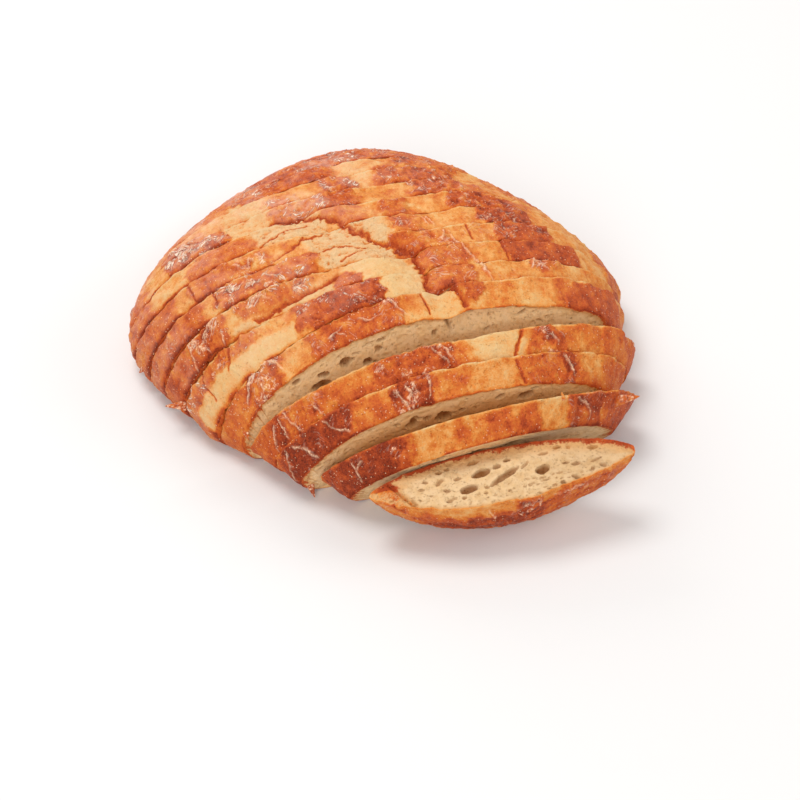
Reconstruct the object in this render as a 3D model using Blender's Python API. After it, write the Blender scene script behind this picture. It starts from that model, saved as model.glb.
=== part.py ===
"""Sliced round hearth loaf: a standing block of cut pieces, three leaning slices and a fallen heel.

Metres, +Z up, front of the loaf at -Y. Until the last step everything is measured from the left foot of the
block's front cut face, with X along that face and Y back into the loaf.
"""
import math

import bmesh
import bpy
import numpy as np
from mathutils import Matrix

# whole loaf
slice_thickness = 0.0156      # pieces of the standing block
front_thickness = 0.0143      # the three leaning slices
dome_height = 0.0751          # board to crown
half_length_a = 0.1267        # rounded-square plan, first half axis
half_length_b = 0.1221        # rounded-square plan, second half axis
plan_turn = math.radians(-56.5)
plan_power = 2.58             # 2 would be an oval, larger is squarer
dome_power = 2.90             # how late the top starts to fall
crown_power = 1.89            # how steeply the flanks meet the board
dome_x, dome_y = 0.0995, 0.0628
foot_inset = 0.0170           # how far the base is drawn in under the flanks
foot_height = 0.0210
front_stretch = 0.78          # the front end falls more slowly than the back

# the flanks stand steeper in places: (place along the loaf, drawn in at the board), fading out up the flank
right_draw = [(-0.050, 0.009), (-0.002, 0.009), (0.004, 0.016), (0.024, 0.014), (0.046, 0.0)]
left_draw = [(-0.050, 0.0015), (0.000, 0.0), (0.016, 0.0), (0.030, 0.005), (0.060, 0.005), (0.080, 0.0)]
draw_height = 0.045

# cuts of the block
block_count = 12
gap = 0.0003                  # air between neighbouring cut faces
turned_cuts = {0: (0.0356, 0.110), 1: (0.054, 0.0945)}   # slope of the first cuts, and where it crosses nought
wedge = 0.0009                # more air at the left flank, where the slices have spread a little
wedge_start, wedge_reach = 0.050, 0.060
wedge_first, wedge_last = 2, 9
slide_first, slide_each, slide_ease = 0.0054, 0.00137, 0.000107   # each slice slid left of the one before it

# how finely each piece is made
ring_points = 68
slice_steps = 4
end_steps = 7
end_share = 0.985             # how far towards its tip a rounded end runs before its last small flat

# crust relief: each line is its height, half width and corner points
crust_lines = [
    (-0.0026, 0.0065, [(0.1115, 0.004), (0.1105, 0.020), (0.110, 0.046)]),
    (-0.0024, 0.0070, [(0.1075, 0.046), (0.089, 0.066), (0.069, 0.089), (0.055, 0.098), (0.030, 0.108)]),
    (-0.0020, 0.0060, [(0.069, 0.0405), (0.033, 0.033), (0.010, 0.028)]),
    (0.0016, 0.0120, [(0.063, 0.022), (0.073, 0.024)]),
    (0.0016, 0.0080, [(0.1195, 0.010), (0.1195, 0.045), (0.104, 0.072), (0.078, 0.098)]),
    (0.0018, 0.0100, [(0.0895, 0.020), (0.0895, 0.045), (0.076, 0.058)]),
    (0.0016, 0.0070, [(0.016, 0.047), (0.060, 0.054)]),
    (-0.0016, 0.0080, [(0.092, 0.146), (0.108, 0.112), (0.136, 0.072)]),
]
relief_start, relief_full = 0.010, 0.030      # heights over the board between which the relief fades in

# leaning slices: name, place in slices along the loaf, front foot, slid sideways, lean and turn in degrees,
# width and height against the dome
leaning = [
    ("slice_04", -1, (0.1008, -0.0146), 0.0034, 16.0, 2.04, 1.000, 0.970),
    ("slice_03", -2, (0.1008, -0.0301), 0.0029, 16.5, 2.03, 0.990, 0.960),
    ("slice_02", -3, (0.1008, -0.0450), 0.0123, 30.0, 1.83, 0.992, 0.955),
]

# fallen heel, on its domed crust with the cut face up: a lens with a crown side and a base side
heel_length = 0.1330
heel_crown, heel_crown_power = 0.0176, 1.86
heel_base, heel_base_power = 0.0178, 1.06
heel_skew = -0.506            # its crown side lies left of its base side
heel_depth = 0.0341
heel_fall, heel_round = 1.104, 3.10           # how the outline shrinks towards the tip
heel_tip = -0.0035            # the tip lies a little towards the base side
heel_roll, heel_lean, heel_turn = 5.27, 96.85, -8.98
heel_x, heel_y = 0.1081, -0.0848

crust_color = (0.50, 0.22, 0.07, 1.0)
crust_roughness = 0.55


def plan_radius(x, y):
    """Rounded-square distance from the loaf's middle, 1 at the foot of the crust."""
    y = np.where(y < 0, y * front_stretch, y)
    u = math.cos(plan_turn) * (x - dome_x) + math.sin(plan_turn) * (y - dome_y)
    v = -math.sin(plan_turn) * (x - dome_x) + math.cos(plan_turn) * (y - dome_y)
    return ((abs(u) / half_length_a) ** plan_power + (abs(v) / half_length_b) ** plan_power) ** (1 / plan_power)


def crust_height(x, y):
    rest = np.maximum(1 - np.minimum(plan_radius(x, y), 1) ** dome_power, 0)
    return dome_height * rest ** (1 / crown_power)


def distance_to_line(x, y, corners):
    nearest = np.full_like(x, np.inf)
    for (x0, y0), (x1, y1) in zip(corners, corners[1:]):
        dx, dy = x1 - x0, y1 - y0
        along = np.clip(((x - x0) * dx + (y - y0) * dy) / (dx * dx + dy * dy), 0, 1)
        nearest = np.minimum(nearest, np.hypot(x - x0 - along * dx, y - y0 - along * dy))
    return nearest


def relief(x, y, z):
    """Sum of soft ridges and hollows, each a bell over the distance from its line, none near the board."""
    total = sum(height * np.exp(-(distance_to_line(x, y, corners) / width) ** 2)
                for height, width, corners in crust_lines)
    return total * np.clip((z - relief_start) / (relief_full - relief_start), 0, 1)


def drawn_in(x, y, z, middle):
    """How far a flank is moved towards the middle at this place, signed along X."""
    low = np.clip(1 - z / draw_height, 0, 1)
    return low * np.where(x < middle, np.interp(y, *zip(*left_draw)), -np.interp(y, *zip(*right_draw)))


def square_plane(y):
    return lambda x: y + 0.0 * x


def cut_plane(k, side, moved):
    """One face of cut k of the block as y over x, for a piece that is then moved sideways."""
    slope, crossing = turned_cuts.get(k, (0.0, 0.0))
    spread = wedge if wedge_first <= k <= wedge_last else 0.0

    def place(x):
        open_share = np.clip((wedge_start - x) / wedge_reach, 0, 1) ** 2
        return k * slice_thickness + side * (gap / 2 + spread * open_share) + slope * (x + moved - crossing)
    return place


def between(front, back, share):
    return lambda x: front(x) * (1 - share) + back(x) * share


def section(place, width=1.0, height=1.0):
    """Outline of the loaf on the upright surface y = place(x), from left foot over the crown to right foot."""
    x = np.linspace(-0.10, 0.30, 4001)
    inside = x[plan_radius(x, place(x)) < 0.9999]
    middle, half = (inside[0] + inside[-1]) / 2, (inside[-1] - inside[0]) / 2
    x = middle - half * np.cos(np.linspace(0, math.pi, ring_points))
    z = crust_height(x, place(x))
    z[0] = z[-1] = 0.0
    out_x, out_z = (x - middle) / half ** 2, z / max(z.max(), 1e-6) ** 2
    lift = relief(x, place(x), z) / np.hypot(out_x, out_z)
    sunk = np.clip((foot_height - z) / foot_height, 0, 1)
    inset = min(foot_inset, 0.35 * half) * (1 - np.sqrt(1 - sunk ** 2))
    x_end = x + lift * out_x - np.sign(x - middle) * inset + drawn_in(x, place(x), z, middle)
    return np.stack([middle + (x_end - middle) * width, place(x_end), (z + lift * out_z) * height], axis=1)


def end_places():
    """Shares of the way to a rounded end, closer together where it turns down."""
    return np.sin(np.linspace(0, math.pi / 2, end_steps + 1)) * end_share


def loaf_tip():
    """Where the plan closes at the back."""
    y = dome_y + np.linspace(0, 0.25, 6001)
    return y[plan_radius(np.full_like(y, dome_x), y) < 1][-1]


def slide(k):
    return -(slide_first * (1 - math.exp(-k)) + slide_each * k - slide_ease * k * k)


def add_piece(name, rings, location, rotation=(0.0, 0.0, 0.0)):
    """Extrudes the first ring's face through the other rings, then closes the start."""
    shape = bmesh.new()
    first = [shape.verts.new(point) for point in rings[0]]
    face = shape.faces.new(first)
    for ring in rings[1:]:
        face = bmesh.ops.extrude_discrete_faces(shape, faces=[face])["faces"][0]
        for corner, point in zip(face.verts, ring):
            corner.co = point
    shape.faces.new(first[::-1])
    mesh = bpy.data.meshes.new(name)
    shape.to_mesh(mesh)
    shape.free()
    mesh.materials.append(crust_material(name))
    piece = bpy.data.objects.new(name, mesh)
    piece.location, piece.rotation_euler = location, rotation
    bpy.context.scene.collection.objects.link(piece)
    return piece


def crust_material(name):
    material = bpy.data.materials.new(name + "_crust")
    material.use_nodes = True
    shader = material.node_tree.nodes["Principled BSDF"]
    shader.inputs["Base Color"].default_value = crust_color
    shader.inputs["Roughness"].default_value = crust_roughness
    shader.inputs["Metallic"].default_value = 0.0
    return material


def add_block_piece(k):
    """One upright slice, or the rounded end piece behind the last cut."""
    moved = slide(k + 0.5)
    front = cut_plane(k, 1, moved)
    if k < block_count - 1:
        back, shares = cut_plane(k + 1, -1, moved), np.linspace(0, 1, slice_steps + 1)
    else:
        back, shares = square_plane(loaf_tip()), end_places()
    rings = [section(between(front, back, share)) for share in shares]
    return add_piece("slice_%02d" % (k + 5), rings, (moved, 0.0, 0.0))


def add_leaning_slice(name, k, foot, sideways, lean, turn, width, height):
    """A slice tipped forward about its front foot."""
    rings = []
    for share in np.linspace(0, 1, slice_steps + 1):
        ring = section(square_plane((k + share) * slice_thickness), width, height)
        ring[:, 0] -= foot[0]
        ring[:, 1] = share * front_thickness
        rings.append(ring)
    rotation = (math.radians(lean), 0.0, math.radians(turn))
    return add_piece(name, rings, (foot[0] + sideways, foot[1], 0.0), rotation)


def add_heel():
    """The end piece, tipped until its cut face looks up and its domed crust touches the board."""
    angle = np.linspace(math.pi, -math.pi, ring_points + 1)[:-1]
    side = np.sin(angle)
    z = np.where(side > 0, heel_crown * abs(side) ** heel_crown_power, -heel_base * abs(side) ** heel_base_power)
    x = heel_length / 2 * np.cos(angle) + heel_skew * z
    rings = []
    for share in end_places()[::-1]:
        size = (1 - share ** heel_fall) ** (1 / heel_round)
        rings.append(np.stack([x * size, 0 * x - heel_depth * share, z * size + heel_tip * (1 - size)], axis=1))
    turns = [Matrix.Rotation(math.radians(angle), 3, axis)
             for angle, axis in ((heel_turn, "Z"), (heel_lean, "X"), (heel_roll, "Z"))]
    rotation = turns[0] @ turns[1] @ turns[2]
    lowest = (np.concatenate(rings) @ np.array(rotation).T)[:, 2].min()
    return add_piece("slice_01", rings, (heel_x, heel_y, -lowest), rotation.to_euler())


for old in list(bpy.data.objects):
    bpy.data.objects.remove(old, do_unlink=True)

pieces = [add_heel()] + [add_leaning_slice(*slice_values) for slice_values in leaning]
pieces += [add_block_piece(k) for k in range(block_count)]

# the whole loaf hangs on one empty, which brings the middle of its underside to the origin
bpy.context.view_layer.update()
corners = np.array([piece.matrix_world @ corner.co for piece in pieces for corner in piece.data.vertices])
low, high = corners.min(axis=0), corners.max(axis=0)
loaf = bpy.data.objects.new("loaf", None)
loaf.location = (-(low[0] + high[0]) / 2, -(low[1] + high[1]) / 2, -low[2])
bpy.context.scene.collection.objects.link(loaf)
for piece in pieces:
    piece.parent = loaf
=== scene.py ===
import math

import bpy
import numpy as np
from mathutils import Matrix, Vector


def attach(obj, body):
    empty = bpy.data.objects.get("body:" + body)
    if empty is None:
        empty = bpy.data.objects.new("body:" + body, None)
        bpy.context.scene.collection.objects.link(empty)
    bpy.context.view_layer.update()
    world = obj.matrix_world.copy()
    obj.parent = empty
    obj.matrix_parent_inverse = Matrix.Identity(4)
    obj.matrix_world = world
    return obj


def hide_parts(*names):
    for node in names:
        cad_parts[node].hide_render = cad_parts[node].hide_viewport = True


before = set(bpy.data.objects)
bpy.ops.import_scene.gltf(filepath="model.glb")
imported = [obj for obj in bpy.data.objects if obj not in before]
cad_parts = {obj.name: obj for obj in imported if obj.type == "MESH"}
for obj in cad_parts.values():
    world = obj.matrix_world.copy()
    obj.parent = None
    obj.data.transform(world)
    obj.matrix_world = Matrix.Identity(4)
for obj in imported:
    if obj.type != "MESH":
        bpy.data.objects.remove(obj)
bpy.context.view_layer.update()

mm = 0.001

# form of the whole loaf, in metres from the left foot of the standing cut face, as the solids have it
loaf = {
    "footInFrame": (-0.09089, -0.04695),   # where that foot lies in the frame
    "sliceThickness": 0.0156,
    "leaningThickness": 0.0143,
    "domeHeight": 0.0751,
    "halfLengthA": 0.1267,
    "halfLengthB": 0.1221,
    "planTurn": math.radians(-56.5),
    "planPower": 2.58,
    "domePower": 2.90,
    "crownPower": 1.89,
    "middle": (0.0995, 0.0628),
    "footInset": 0.0170,
    "footHeight": 0.0210,
    "frontStretch": 0.78,
    "gap": 0.0003,
    "turnedCuts": {0: (0.0356, 0.110), 1: (0.054, 0.0945)},   # slope, and where it crosses nought
    "wedge": 0.0009,
    "wedgeStart": 0.050,
    "wedgeReach": 0.060,
    "wedgeCuts": (2, 9),
    "slide": (0.0054, 0.00137, 0.000107),
    "reliefStart": 0.010,
    "reliefFull": 0.030,
    # how far the flanks are drawn in at the floor: (place along the loaf, distance)
    "rightDraw": [(-0.050, 0.009), (-0.002, 0.009), (0.004, 0.016), (0.024, 0.014), (0.046, 0.0)],
    "leftDraw": [(-0.050, 0.0015), (0.000, 0.0), (0.016, 0.0), (0.030, 0.005), (0.060, 0.005), (0.080, 0.0)],
    "drawHeight": 0.045,
}

# broad swells and dips of the crust, as in the solids: height, half width, corner points
crustLines = [
    (-0.0026, 0.0065, [(0.1115, 0.004), (0.1105, 0.020), (0.110, 0.046)]),
    (-0.0024, 0.0070, [(0.1075, 0.046), (0.089, 0.066), (0.069, 0.089), (0.055, 0.098), (0.030, 0.108)]),
    (-0.0020, 0.0060, [(0.069, 0.0405), (0.033, 0.033), (0.010, 0.028)]),
    (0.0016, 0.0120, [(0.063, 0.022), (0.073, 0.024)]),
    (0.0016, 0.0080, [(0.1195, 0.010), (0.1195, 0.045), (0.104, 0.072), (0.078, 0.098)]),
    (0.0018, 0.0100, [(0.0895, 0.020), (0.0895, 0.045), (0.076, 0.058)]),
    (0.0016, 0.0070, [(0.016, 0.047), (0.060, 0.054)]),
    (-0.0016, 0.0080, [(0.092, 0.146), (0.108, 0.112), (0.136, 0.072)]),
]


def planRadius(x, y):
    # rounded-square distance from the loaf's middle: the power mean of the two turned offsets over the
    # half axes, with the front drawn out
    y = np.where(y < 0, y * loaf["frontStretch"], y) - loaf["middle"][1]
    x = x - loaf["middle"][0]
    cosine, sine = math.cos(loaf["planTurn"]), math.sin(loaf["planTurn"])
    u, v = cosine * x + sine * y, cosine * y - sine * x
    power = loaf["planPower"]
    return (abs(u / loaf["halfLengthA"]) ** power + abs(v / loaf["halfLengthB"]) ** power) ** (1 / power)


def crustHeight(x, y):
    # dome height times (1 - radius to the dome power) to one over the crown power
    rest = np.maximum(1 - np.minimum(planRadius(x, y), 1) ** loaf["domePower"], 0)
    return loaf["domeHeight"] * rest ** (1 / loaf["crownPower"])


def lineDistance(x, y, corners):
    # least distance to the straight runs between the corners, and how far along the line that is, 0 to 1
    nearest, share = np.full(x.shape, np.inf), np.zeros(x.shape)
    for run, ((x0, y0), (x1, y1)) in enumerate(zip(corners, corners[1:])):
        dx, dy = x1 - x0, y1 - y0
        along = np.clip(((x - x0) * dx + (y - y0) * dy) / (dx * dx + dy * dy), 0, 1)
        away = np.hypot(x - x0 - along * dx, y - y0 - along * dy)
        share = np.where(away < nearest, (run + along) / (len(corners) - 1), share)
        nearest = np.minimum(nearest, away)
    return nearest, share


def broadRelief(x, y, z):
    # sum of bells over the distance from each line, fading in over the foot
    total = sum(height * bell(lineDistance(x, y, corners)[0], width)
                for height, width, corners in crustLines)
    return total * np.clip((z - loaf["reliefStart"]) / (loaf["reliefFull"] - loaf["reliefStart"]), 0, 1)


def drawnIn(x, y, z, middle):
    # along X: the draw at this y, fading out up the flank, towards the middle on either side
    low = np.clip(1 - z / loaf["drawHeight"], 0, 1)
    fromLeft = np.interp(y, *zip(*loaf["leftDraw"]))
    fromRight = np.interp(y, *zip(*loaf["rightDraw"]))
    return low * np.where(x < middle, fromLeft, -fromRight)


def slide(k):
    # how far slice k has slid along X: a first step that dies away, then so much a slice, easing off
    first, each, ease = loaf["slide"]
    return -(first * (1 - math.exp(-k)) + each * k - ease * k * k)


def loafTip():
    # y of the plan's back end over the loaf's middle
    y = loaf["middle"][1] + np.linspace(0, 0.25, 6001)
    return y[planRadius(np.full_like(y, loaf["middle"][0]), y) < 1][-1]


# noise
def softNoise(points, size, seed):
    # gradient noise, about -1 to 1: blended dot products with a hashed direction at each corner of a lattice
    place = points / size + seed * 17.31
    cell = np.floor(place).astype(np.int64)
    rest = place - cell
    blend = rest * rest * rest * (rest * (rest * 6 - 15) + 10)
    total = 0
    for corner in range(8):
        step = np.array([corner & 1, corner >> 1 & 1, corner >> 2 & 1])
        key = (cell + step) @ np.array([73856093, 19349663, 83492791]) + seed * 7919
        key = (key ^ (key >> 13)) * 1274126177 & 0x7fffffff
        away = rest - step
        direction = np.stack([key & 1023, key >> 10 & 1023, key >> 20 & 1023], -1) / 511.5 - 1
        weight = np.prod(np.where(step == 1, blend, 1 - blend), axis=-1)
        total = total + weight * (away * direction).sum(-1)
    return total * 1.6


def ridgeNoise(points, size, seed, sharpness=3.0):
    # thin crests where the noise crosses nought
    return np.maximum(1 - abs(softNoise(points, size, seed)) * 2.2, 0) ** sharpness


def bell(value, width):
    # one at nought, dying away as exp(-(value / width)^2)
    return np.exp(-(value / width) ** 2)


def flatPlace(u, v):
    # points of the unrolled crust or of a cut face, for the noises
    return np.stack([u, v, 0 * u], -1)


def smooth(value, low, high):
    # nought below low, one above high, 3 v^2 - 2 v^3 between
    value = np.clip((value - low) / (high - low), 0, 1)
    return value * value * (3 - 2 * value)


# crust pattern, in millimetres: s runs over the crown from left to right, y from the standing cut face
# back; patches of crust: s from, s to, y from, y to, turned by degrees, browning, wrinkles, torn, softness
patches = [
    # pale and torn places
    (-30, 11, 14, 50, 0, 0.10, 0.0, 0.15, 1.5), (2, 18, -1, 17, 0, 0.12, 0.0, 0.1, 1.5),
    (-136, -60, 14, 23, 0, 0.14, 0.0, 0.2, 1.0), (-92, -28, 30, 38, 4, 0.16, 0.1, 0.6, 1.5),
    (-38, 8, 46, 80, 0, 0.20, 0.2, 1.0, 3.0), (-64, -20, 76, 98, -8, 0.20, 0.2, 1.0, 3.0),
    (-76, -44, 92, 132, 8, 0.22, 0.2, 0.7, 4.0), (-128, -98, 76, 97, 0, 0.28, 0.1, 0.2, 3.0),
    (8, 37, -15.6, 0, 0, 0.12, 0.0, 0.1, 2.0), (1, 29, -31.2, -15.6, 0, 0.33, 0.1, 0.1, 3.0),
    (104, 128, 28, 50, 0, 0.30, 0.0, 0.1, 2.5), (92, 128, 50, 84, 0, 0.34, 0.1, 0.1, 3.0),
    (-6, 16, 106, 142, -20, 0.24, 0.1, 0.5, 3.0), (-112, -102, 62, 78, 0, 0.34, 0.0, 0.1, 1.0),
    (-46, -26, -47, -31.2, 0, 0.36, 0.1, 0.0, 4.0), (20, 40, -47, -31.2, 0, 0.33, 0.1, 0.0, 3.0),
    (40, 60, 16, 78, 0, 0.38, 0.3, 0.0, 3.0), (-130, -110, 94, 118, 0, 0.30, 0.1, 0.1, 4.0),
    (12, 44, 128, 138, 10, 0.36, 0.2, 0.3, 4.0),
    # the leaning slices' left ends are browned past the rest, partly a painted shade
    # slice 2
    (-104, -46, -47, -31.2, 0, 1.06, 0.3, 0.0, 1.5), (-57, -46, -46, -31.2, 0, 1.04, 0.9, 0.0, 1.5),
    (-25, -4, -47, -33, 0, 0.52, 0.2, 0.0, 3.0), (5, 22, -48, -37, 0, 0.82, 0.2, 0.0, 3.0),
    (40, 62, -47, -31.2, 0, 0.90, 0.5, 0.0, 1.0), (62, 112, -47, -32, 0, 0.90, 0.3, 0.0, 2.0),
    # slice 3
    (-114, -58, -31.2, -15.6, 0, 1.04, 0.4, 0.0, 2.5), (-104, -97, -31.2, -15.6, 0, 1.06, 0.2, 0.0, 1.5),
    (-58, -41, -31.2, -15.6, 0, 0.58, 0.2, 0.0, 3.0), (-38, -16, -31.2, -16.4, 0, 1.02, 1.0, 0.0, 1.2),
    (-16, 2, -31.2, -15.6, 0, 0.54, 0.3, 0.0, 3.0), (31, 55, -31.2, -17, 0, 0.67, 0.3, 0.0, 0.8),
    (54, 63, -31.2, -17, -6, 0.92, 0.8, 0.0, 1.0), (85, 116, -31.2, -15.6, 0, 0.68, 0.1, 0.0, 1.0),
    # slice 4
    (-134, -107, -15.6, 0, 0, 0.76, 0.3, 0.0, 2.5), (-107, -96, -15.6, 0, 0, 0.84, 0.3, 0.0, 1.5),
    (-95, -62, -15.6, 0, 0, 0.62, 0.6, 0.0, 3.0), (-43, -2, -15.6, -0.5, 0, 0.85, 0.9, 0.0, 1.5),
    (46, 59, -15, -1, 24, 0.85, 0.9, 0.0, 1.2), (86, 122, -15.6, 0, 0, 0.66, 0.1, 0.0, 1.0),
    # slice 5
    (-150, -100, 0, 15.6, 0, 0.62, 0.2, 0.0, 2.5), (-100, -78, -1, 13, 0, 0.72, 1.0, 0.0, 1.5),
    (-62, -10, -1, 17, 0, 0.66, 0.5, 0.0, 1.0), (22, 32, 4, 17, -10, 0.76, 0.5, 0.0, 1.0),
    (78, 124, 1, 20, 12, 0.78, 0.15, 0.0, 1.0),
    # slice 6
    (-140, -80, 23, 33, 0, 0.70, 0.8, 0.0, 1.0), (-61, -12, 12, 32, 0, 0.86, 0.8, 0.0, 1.0),
    (-42, -24, 17, 31, 0, 0.97, 0.6, 0.0, 4.0), (-34, -18, 28, 42, 45, 0.76, 0.3, 0.0, 1.0),
    (13, 38, 15, 33, 0, 0.66, 0.4, 0.0, 1.0), (17, 35, 13, 20, -8, 0.82, 0.3, 0.0, 1.5),
    (68, 86, 24, 32, 0, 0.63, 0.8, 0.0, 1.0),
    # slice 7
    (-152, -118, 31.2, 47, 0, 0.72, 0.1, 0.0, 1.5), (-118, -93, 30, 47, 0, 0.72, 1.0, 0.0, 1.2),
    (-86, -40, 37, 47, 3, 0.57, 0.9, 0.0, 1.0), (13, 38, 32, 47, 0, 0.64, 0.4, 0.0, 0.8),
    (60, 105, 31.2, 48, 0, 0.86, 0.1, 0.0, 0.8), (127, 142, 24, 52, 0, 0.74, 0.1, 0.0, 1.5),
    # slice 8
    (-156, -100, 47, 61.5, 0, 0.65, 0.25, 0.0, 1.0), (-92, -55, 47, 62.4, 0, 0.64, 1.0, 0.0, 1.0),
    (-55, -36, 47, 62, 0, 0.62, 0.5, 0.0, 1.5), (5, 20, 47, 63, 8, 0.68, 0.6, 0.3, 1.5),
    (20, 36, 47, 63, 0, 0.54, 0.7, 0.0, 2.0), (60, 94, 48, 63, 0, 0.85, 0.6, 0.0, 0.8),
    # slice 9
    (-148, -112, 63, 76, 0, 0.66, 0.2, 0.0, 1.0), (-102, -78, 62.4, 77.5, 0, 0.66, 0.5, 0.0, 0.8),
    (-78, -56, 62.4, 77.5, 0, 0.52, 1.0, 0.0, 2.0), (8, 26, 63, 78, 0, 0.58, 0.6, 0.0, 2.0),
    (57, 88, 61, 79, -8, 0.93, 0.9, 0.0, 1.2),
    # slice 10
    (-160, -128, 78, 108, 0, 0.66, 0.2, 0.0, 3.0), (-100, -60, 78, 90, 0, 0.58, 0.2, 0.0, 1.5),
    (8, 24, 79, 92, 0, 0.66, 0.7, 0.0, 1.5), (46, 66, 80, 93, -15, 0.86, 1.0, 0.0, 1.5),
    (64, 86, 73, 90, -20, 0.76, 0.4, 0.0, 2.0),
    # slices 11 and 12
    (-111, -72, 92, 109, 8, 0.84, 1.0, 0.0, 2.0), (-47, -24, 96, 109, 0, 0.62, 0.6, 0.7, 2.0),
    (-24, 2, 92, 109, 0, 0.76, 0.9, 0.2, 2.0), (29, 60, 93, 127, 10, 0.82, 0.9, 0.1, 3.0),
    (57, 71, 97, 106, 10, 0.58, 0.3, 0.0, 1.5), (-113, -88, 108, 120, 0, 0.72, 0.9, 0.0, 3.0),
    (-50, -31, 110, 121, 0, 0.56, 0.4, 0.3, 3.0), (-15, 6, 108, 123, 0, 0.80, 1.0, 0.0, 2.0),
    (17, 31, 109, 130, 12, 0.72, 0.7, 0.4, 2.0),
    # the back
    (-60, -33, 125, 141, 0, 0.74, 0.9, 0.4, 2.5), (-37, -4, 127, 147, 12, 0.82, 0.9, 0.2, 2.0),
    (30, 46, 129, 141, 0, 0.90, 0.5, 0.0, 2.5), (46, 74, 122, 143, 15, 0.70, 0.7, 0.2, 4.0),
    (-54, -41, 141, 157, 0, 0.80, 0.7, 0.3, 3.0), (-31, -9, 147, 160, 0, 0.80, 0.8, 0.2, 3.0),
    (-8, 32, 142, 160, 0, 0.74, 0.6, 0.1, 5.0), (-20, 40, 158, 184, 0, 0.80, 0.6, 0.1, 8.0),
    (-120, -70, 128, 165, 30, 0.66, 0.4, 0.0, 8.0), (80, 130, 96, 140, -30, 0.66, 0.4, 0.0, 8.0),
]

# thin raised folds of crust, painted paler along them as a highlight: corner points
folds = [
    [(-81, -33), (-77, -38), (-78, -45)], [(-77, -38), (-72, -35)], [(45, -33), (49, -35), (53, -37)],
    [(-98, -17), (-92, -22), (-86, -31)], [(-76, -17), (-70, -24), (-62, -29)],
    [(-102, -16), (-106, -24), (-110, -30)], [(-36, -18), (-34, -23), (-31, -29)],
    [(-30, -17), (-28, -22), (-29, -27)], [(-17, -18), (-18, -23), (-21, -29)],
    [(-25, -19), (-24, -26)], [(57, -17), (60, -22), (62, -29)], [(50, -33), (53, -40), (52, -46)],
    [(-94, 0), (-92, -8), (-87, -15.6)], [(-98, -1), (-97, -14)], [(-100, -2), (-105, -8), (-107, -15)],
    [(-77, -6), (-72, -14)], [(-12, -1), (-7, -6), (-6, -13)], [(-6, -1), (-3, -7), (-2, -13)],
    [(53, -3), (56, -12)], [(59, -3), (60, -8)],
    [(-95, 1), (-90, 8), (-85, 11), (-80, 8), (-77, 1)], [(-106, 2), (-99, 8), (-92, 12)],
    [(-52, 4), (-46, 6), (-42, 2)], [(-46, 6), (-41, 8)], [(-34, 9), (-28, 7), (-21, 8)],
    [(-18, 17), (-13, 9), (-9, 3)], [(36, 60), (38, 46), (41, 34), (46, 15)], [(34, 61), (32, 50)],
    [(-105, 31), (-110, 39), (-102, 45), (-97, 41)], [(-119, 32), (-115, 40), (-109, 46)],
    [(-98, 32), (-95, 38)],
    [(-88, 60), (-80, 55), (-74, 58)], [(-76, 52), (-70, 56), (-66, 51)], [(-66, 60), (-62, 54), (-57, 49)],
    [(-70, 66), (-66, 72), (-63, 68)], [(-76, 75), (-72, 68)], [(-63, 75), (-59, 69)],
    [(69, 25), (72, 30), (76, 28), (79, 24)], [(-55, 40), (-47, 44)], [(-80, 40), (-72, 44), (-66, 41)],
    [(-100, 96), (-95, 104), (-90, 98)], [(-108, 98), (-102, 108)], [(-88, 97), (-82, 104), (-76, 103)],
    [(28, 76), (30, 66)], [(31, 76), (33, 65)], [(13, 76), (15, 66)],
]

# clefts, grooves painted dark as shade: depth, half width, raggedness, corner points
clefts = [
    (1.8, 1.3, 1.0, [(12, 50), (12.5, 36), (11, 26), (11, 19), (19, 14), (20, 4)]),
    (1.6, 1.2, 1.0, [(-76, 33.5), (-52, 36.5), (-38, 39), (-28, 43)]),
    (1.4, 1.3, 1.2, [(10, 50), (3, 57), (-3, 63), (-9, 73), (-15, 83), (-25, 91), (-37, 96), (-48, 99)]),
    (0.8, 0.5, 0.4, [(-102, 78), (-100, 70), (-102, 63)]), (0.7, 0.5, 0.3, [(-92, 62), (-91, 52)]),
    (0.8, 0.5, 0.3, [(60, 47), (60, 33)]), (1.0, 0.5, 0.3, [(1, 15), (2, 9), (2, 3)]),
    (0.6, 0.5, 0.3, [(47, 62), (47, 50)]), (1.3, 0.8, 0.6, [(31, -14), (33, -9), (38, -1)]),
    (0.8, 0.6, 0.5, [(31, -17), (32, -30)]), (0.7, 0.5, 0.4, [(-118, 31), (-120, 23), (-119, 16)]),
    (0.6, 0.5, 0.4, [(-98, 29), (-103, 20)]), (0.8, 0.7, 1.0, [(-54, 66), (-42, 71), (-28, 77)]),
    (0.7, 0.6, 1.0, [(-38, 60), (-22, 61), (-10, 57)]), (0.6, 0.5, 0.8, [(-24, 50), (-12, 55)]),
    (0.7, 0.6, 0.8, [(-58, 79), (-44, 86), (-30, 88)]),
]

crustRelief = {   # heights and widths in millimetres
    "swell": 0.80, "dimple": 0.50, "grain": 0.18, "crag": 1.10, "island": 0.75, "torn": 0.75,
    "wrinkle": 0.70, "fold": 0.80, "edgeRounding": 0.30, "edgeWidth": 0.45, "backLip": 0.60,
    "backLipWidth": 2.2, "unevenLip": 0.9, "frontStep": 0.35, "frontStepWidth": 2.0,
}

crustGrain = {   # size in millimetres and seed of each noise
    "swell": (19.0, 35), "dimple": (5.0, 36), "fineDimple": (2.3, 51), "grain": (1.3, 34),
    "crag": (8.0, 39), "clump": (6.0, 24), "fineClump": (2.4, 29), "drift": (5.0, 25),
    "crinkle": (2.2, 23), "rough": (3.4, 31), "fineRough": (0.9, 37), "pit": (2.6, 33),
    "finePit": (1.1, 38), "broad": (15.0, 1), "blotch": (6.5, 43), "mottle": (2.6, 42),
    # the flour noises also place the painted sheen
    "fleck": (1.1, 44), "broken": (1.9, 46), "flour": (24.0, 49), "fineFlour": (7.0, 50),
    "uneven": (7.0, 45), "lip": (9.0, 47),
}

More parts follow.
